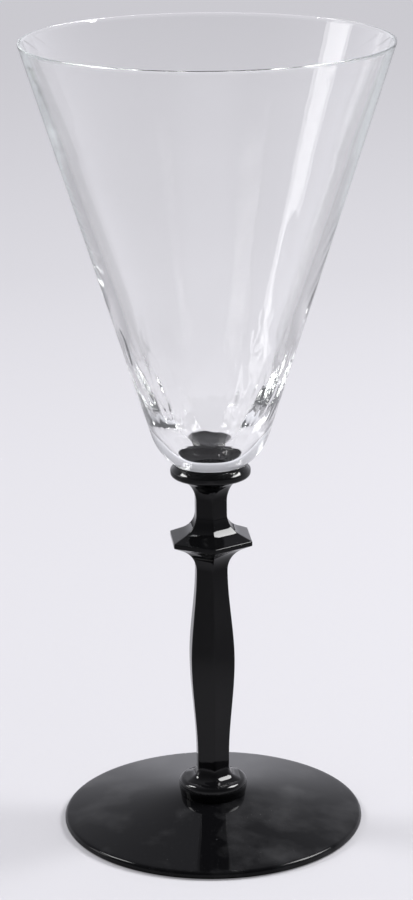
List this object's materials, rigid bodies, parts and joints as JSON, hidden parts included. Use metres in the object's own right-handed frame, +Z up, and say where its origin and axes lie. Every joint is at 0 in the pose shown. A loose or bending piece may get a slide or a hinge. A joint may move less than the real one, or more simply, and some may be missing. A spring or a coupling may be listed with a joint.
{
  "type": "water goblet",
  "caption": "Water goblet with a clear conical bowl on a black six-sided stem with a flanged knop and a round black foot.",
  "frame": {"origin": "on the table under the middle of the foot", "axes": "+Z up along the goblet's axis, -Y the front, towards one corner of the six-sided stem"},
  "size_m": [0.09, 0.09, 0.2],
  "materials": {
    "clear_glass": "clear fire-polished",
    "black_glass": "glossy opaque"
  },
  "bodies": {
    "root": {"bowl": "clear_glass", "upper_collar": "black_glass", "stem": "black_glass", "lower_collar": "black_glass", "foot": "black_glass"}
  },
  "joints": []
}
